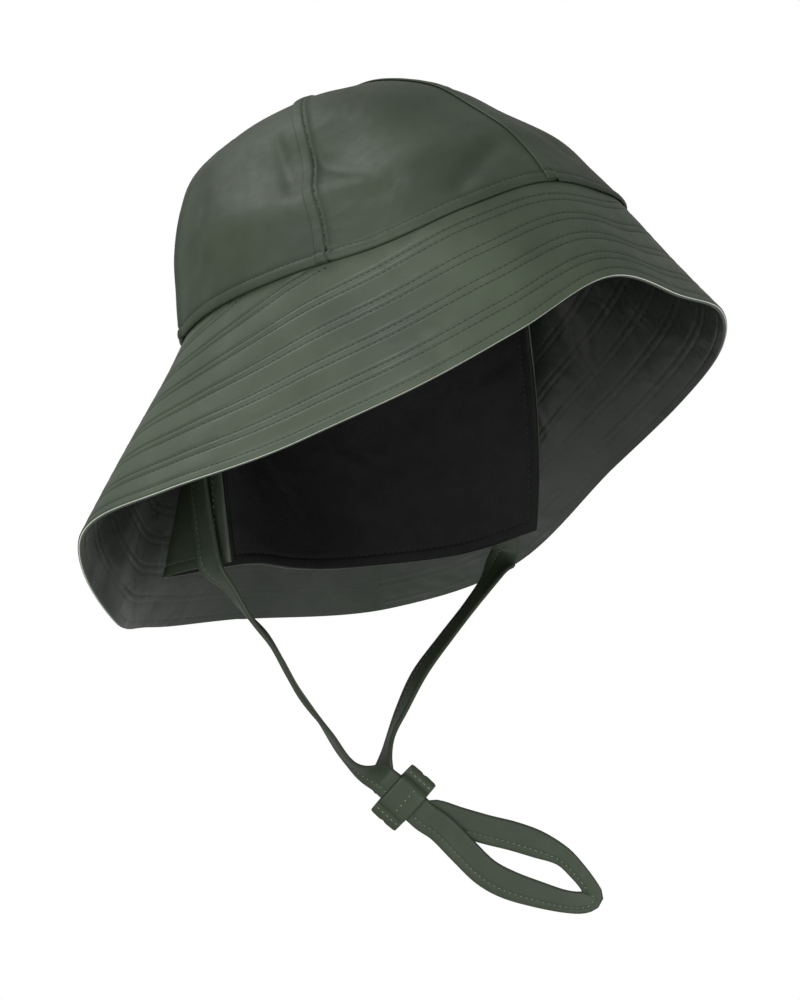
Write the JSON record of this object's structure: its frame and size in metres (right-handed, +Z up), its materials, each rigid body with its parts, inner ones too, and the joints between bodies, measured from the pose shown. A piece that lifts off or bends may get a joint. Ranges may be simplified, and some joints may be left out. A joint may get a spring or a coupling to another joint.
{
  "type": "sou wester hat",
  "caption": "Lined waterproof sou'wester with a gored crown, a steep brim that is longest at the back, a neck and ear flap, and a chin strap with a keeper and tail loop.",
  "frame": {"origin": "centre of the oval seam between crown and brim, at the mount head_seat, where a head carries the hat", "axes": "+Z up through the crown, -Y the way the wearer faces, +X to the wearer's left"},
  "size_m": [0.2752, 0.2904, 0.3426],
  "materials": {
    "crown_cloth": "satin",
    "brim_cloth": "satin",
    "flap_cloth": "satin",
    "lining": "matte",
    "strap_cloth": "satin"
  },
  "bodies": {
    "root": {"crown_gore_1": "crown_cloth", "crown_gore_2": "crown_cloth", "crown_gore_3": "crown_cloth", "crown_gore_4": "crown_cloth", "crown_gore_5": "crown_cloth", "crown_gore_6": "crown_cloth", "brim": "brim_cloth", "flap_shell": "flap_cloth", "flap_lining": "lining", "chin_strap": "strap_cloth", "keeper": "strap_cloth"}
  },
  "joints": []
}
